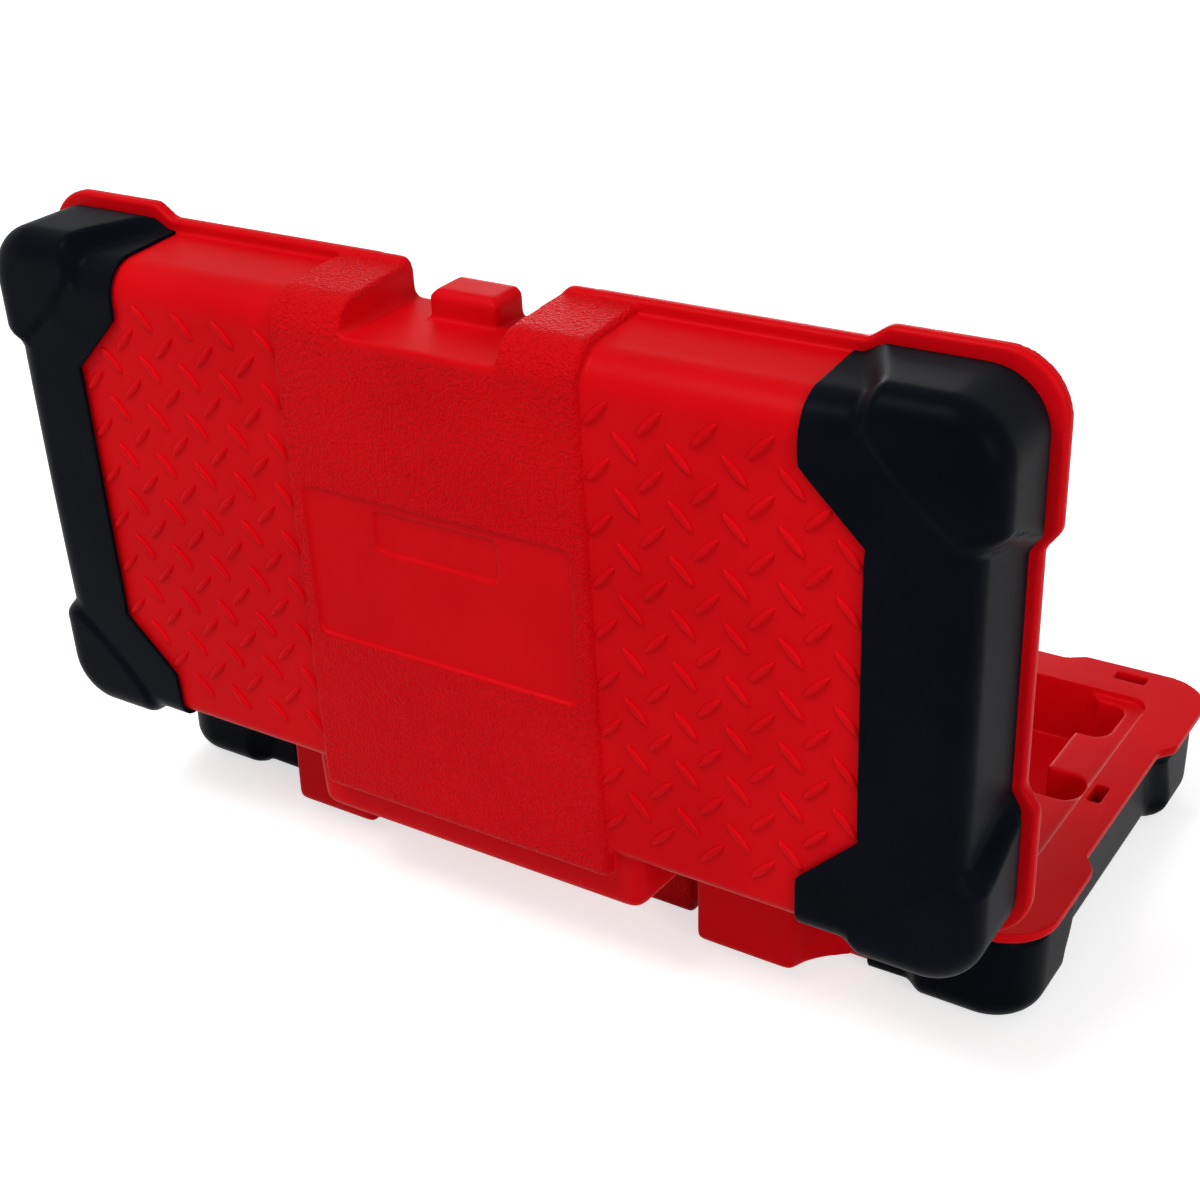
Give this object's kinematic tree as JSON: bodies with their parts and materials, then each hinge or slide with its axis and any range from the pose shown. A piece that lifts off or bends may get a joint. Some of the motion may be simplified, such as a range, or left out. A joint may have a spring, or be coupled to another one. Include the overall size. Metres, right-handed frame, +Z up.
{
  "type": "plastic carry case",
  "caption": "Hinged hard plastic tool case with raised centre band, corner guards, front latch and bail handle, shown open.",
  "frame": {"origin": "middle of the flat face the base rests on, below the middle of the base's rim", "axes": "+Z up, +X along the case to its right-hand end, -Y to the front with the latch and handle, hinge at +Y"},
  "size_m": [0.4, 0.29, 0.2577],
  "materials": {
    "shell_red": "blow-moulded polyethylene, saturated red, satin, fine grain on the band",
    "guard_black": "moulded black polypropylene, satin",
    "latch_black": "moulded black nylon, fine spark-eroded grain",
    "handle_black": "moulded black nylon, satin",
    "pin_steel": "bright zinc-plated wire"
  },
  "bodies": {
    "base": {"base_shell": "shell_red", "base_guard_left": "guard_black", "base_guard_right": "guard_black", "hinge_pin_left": "pin_steel", "hinge_pin_right": "pin_steel", "latch_pin": "pin_steel", "handle_pin_left": "pin_steel", "handle_pin_right": "pin_steel"},
    "lid": {"lid_shell": "shell_red", "lid_guard_left": "guard_black", "lid_guard_right": "guard_black"},
    "latch": {"latch": "latch_black"},
    "handle": {"carry_handle": "handle_black"}
  },
  "joints": [
    {"name": "lid_hinge", "type": "hinge", "parent": "base", "child": "lid", "pos_m": [0, 0.1115, 0.043], "axis": [1, 0, 0], "range_deg": [0, 92.9]},
    {"name": "latch_pivot", "type": "hinge", "parent": "base", "child": "latch", "pos_m": [0, -0.092, 0.019], "axis": [1, 0, 0], "range_deg": [-30, 56]},
    {"name": "handle_swing", "type": "hinge", "parent": "base", "child": "handle", "pos_m": [0, -0.1045, 0.034], "axis": [1, 0, 0], "range_deg": [-92, 0]}
  ]
}
